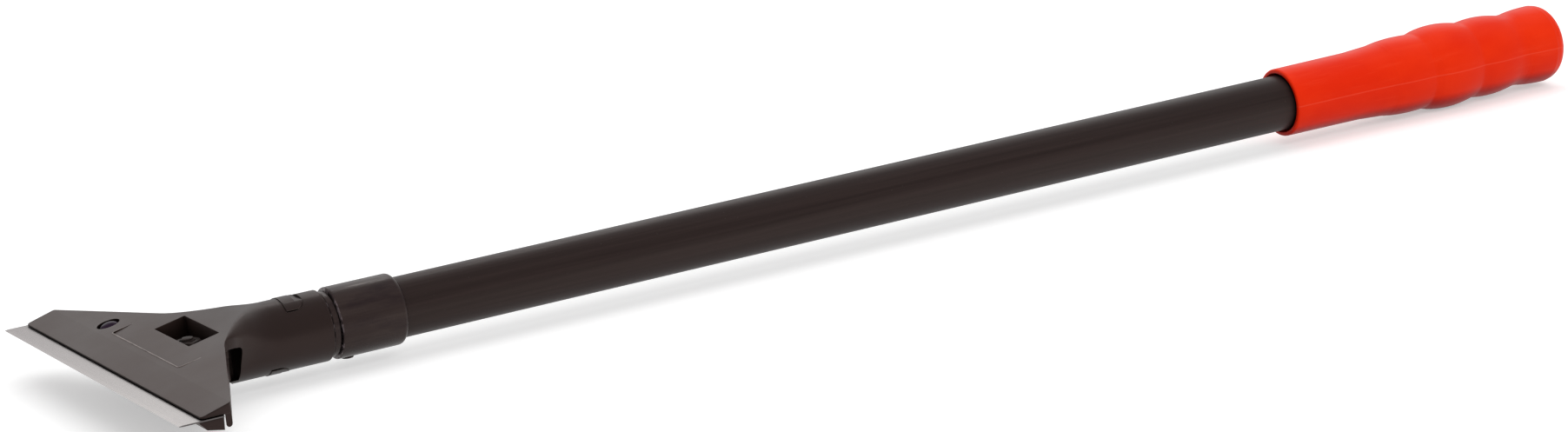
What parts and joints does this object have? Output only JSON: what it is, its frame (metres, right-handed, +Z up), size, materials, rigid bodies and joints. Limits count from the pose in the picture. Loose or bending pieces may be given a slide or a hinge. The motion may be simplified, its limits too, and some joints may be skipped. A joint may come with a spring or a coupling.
{
  "type": "long-handled scraper",
  "caption": "Long-handled floor scraper: wide flat blade clamped in a wedge-shaped head, straight round tube and a swelling hand grip.",
  "frame": {"origin": "middle of the overall length and width, at the level the tool lies on", "axes": "+X along the handle from the blade to the grip, +Y along the blade, +Z up out of the head's sloping face"},
  "size_m": [0.7252, 0.2, 0.039],
  "materials": {
    "head_black": "satin, fine moulded grain",
    "blade_steel": "ground strip steel",
    "zinc_plated": "bright zinc plating",
    "rivet_black": "glossy black",
    "inner_plastic": "moulded, matte",
    "collar_black": "semi-gloss",
    "tube_black": "semi-gloss black coating",
    "grip_red": "semi-gloss orange-red"
  },
  "bodies": {
    "handle": {"head_body": "head_black", "guide_rivet": "rivet_black", "guide_pin": "zinc_plated", "clamp_nut": "zinc_plated", "spigot": "inner_plastic", "stop_ring": "collar_black", "latch_spring_upper": "zinc_plated", "latch_spring_lower": "zinc_plated", "collar": "collar_black", "collar_rivet": "rivet_black", "tube": "tube_black", "tube_plug": "inner_plastic", "grip": "grip_red"},
    "jaw": {"clamp_jaw": "head_black", "clamp_washer": "zinc_plated"},
    "knob": {"clamp_knob": "inner_plastic", "clamp_screw": "zinc_plated"},
    "blade_strip": {"blade": "blade_steel"},
    "latch_upper": {"latch_button_upper": "head_black"},
    "latch_lower": {"latch_button_lower": "head_black"}
  },
  "joints": [
    {"name": "jaw_drop", "type": "slide", "parent": "handle", "child": "jaw", "axis": [0, 0, -1], "range_m": [0, 0.0025]},
    {"name": "knob_turn", "type": "hinge", "parent": "jaw", "child": "knob", "pos_m": [-0.32025, 0, 0], "axis": [0, 0, -1], "range_deg": [0, 900]},
    {"name": "blade_slide", "type": "slide", "parent": "handle", "child": "blade_strip", "axis": [0, -1, 0], "range_m": [0, 0.15]},
    {"name": "latch_upper_press", "type": "slide", "parent": "handle", "child": "latch_upper", "axis": [0, 0, -1], "range_m": [0, 0.003], "stiffness_N_per_m": 500, "springref_m": -0.002, "deforming": ["latch_spring_upper"]},
    {"name": "latch_lower_press", "type": "slide", "parent": "handle", "child": "latch_lower", "axis": [0, 0, 1], "range_m": [0, 0.003], "stiffness_N_per_m": 500, "springref_m": -0.002, "deforming": ["latch_spring_lower"]}
  ],
  "couplings": [
    {"joint": "knob_turn", "follows": "jaw_drop", "rad_per_m": 6283.2}
  ]
}
